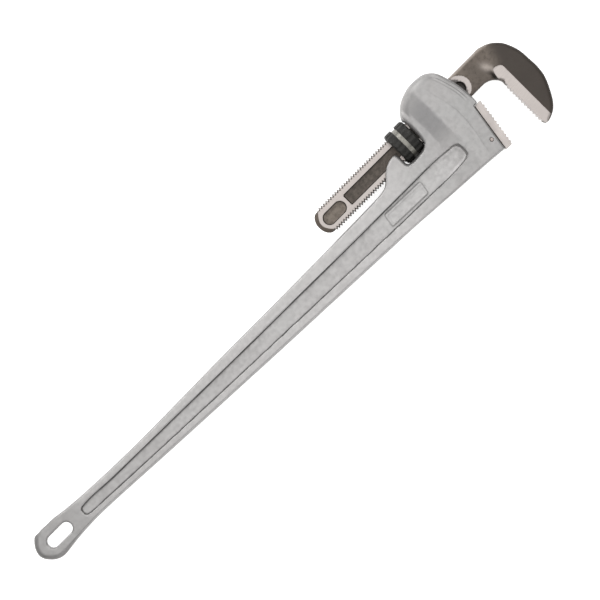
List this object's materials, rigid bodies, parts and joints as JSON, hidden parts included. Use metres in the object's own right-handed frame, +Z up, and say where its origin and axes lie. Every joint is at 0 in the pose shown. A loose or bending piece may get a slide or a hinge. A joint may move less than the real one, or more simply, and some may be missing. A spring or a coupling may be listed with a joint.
{
  "type": "pipe wrench",
  "caption": "Straight pipe wrench with a long I-beam aluminium handle, a screw-adjusted hook jaw and a toothed heel jaw.",
  "frame": {"origin": "middle of the underside of the bounding box, the wrench lying flat on one side of its head", "axes": "+X along the handle from the tail towards the jaws, +Y towards the back of the hook jaw, +Z up, square to the flat side"},
  "size_m": [1.1029, 0.1951, 0.063],
  "materials": {
    "cast_aluminium": "blasted casting, bare, satin",
    "forged_steel": "dark brown forging scale, satin, ground bright along the teeth and the flats of the shank",
    "ground_steel": "ground bright steel",
    "pin_steel": "dark drawn steel",
    "blackened_steel": "black oxide, satin",
    "spring_steel": "oiled spring steel"
  },
  "bodies": {
    "handle_body": {"handle": "cast_aluminium", "heel_jaw": "ground_steel", "heel_jaw_pin": "pin_steel", "coil_spring": "spring_steel"},
    "spring_leaf": {"flat_spring": "spring_steel", "spring_rivet": "spring_steel"},
    "nut": {"adjusting_nut": "blackened_steel"},
    "jaw": {"hook_jaw": "forged_steel"}
  },
  "joints": [
    {"name": "jaw_rock", "type": "hinge", "parent": "handle_body", "child": "spring_leaf", "pos_m": [0.3187, 0.0392, 0.0315], "axis": [0, 0, -1], "range_deg": [0, 3], "stiffness_Nm_per_rad": 80, "springref_deg": -2.86, "deforming": ["coil_spring"]},
    {"name": "nut_spin", "type": "hinge", "parent": "spring_leaf", "child": "nut", "pos_m": [0.3187, 0.0392, 0.0315], "axis": [-1, 0, 0], "range_deg": [-2520, 7920]},
    {"name": "jaw_slide", "type": "slide", "parent": "spring_leaf", "child": "jaw", "axis": [1, 0, 0], "range_m": [-0.0355, 0.1117]}
  ],
  "couplings": [
    {"joint": "nut_spin", "follows": "jaw_slide", "rad_per_m": 1236.8}
  ]
}
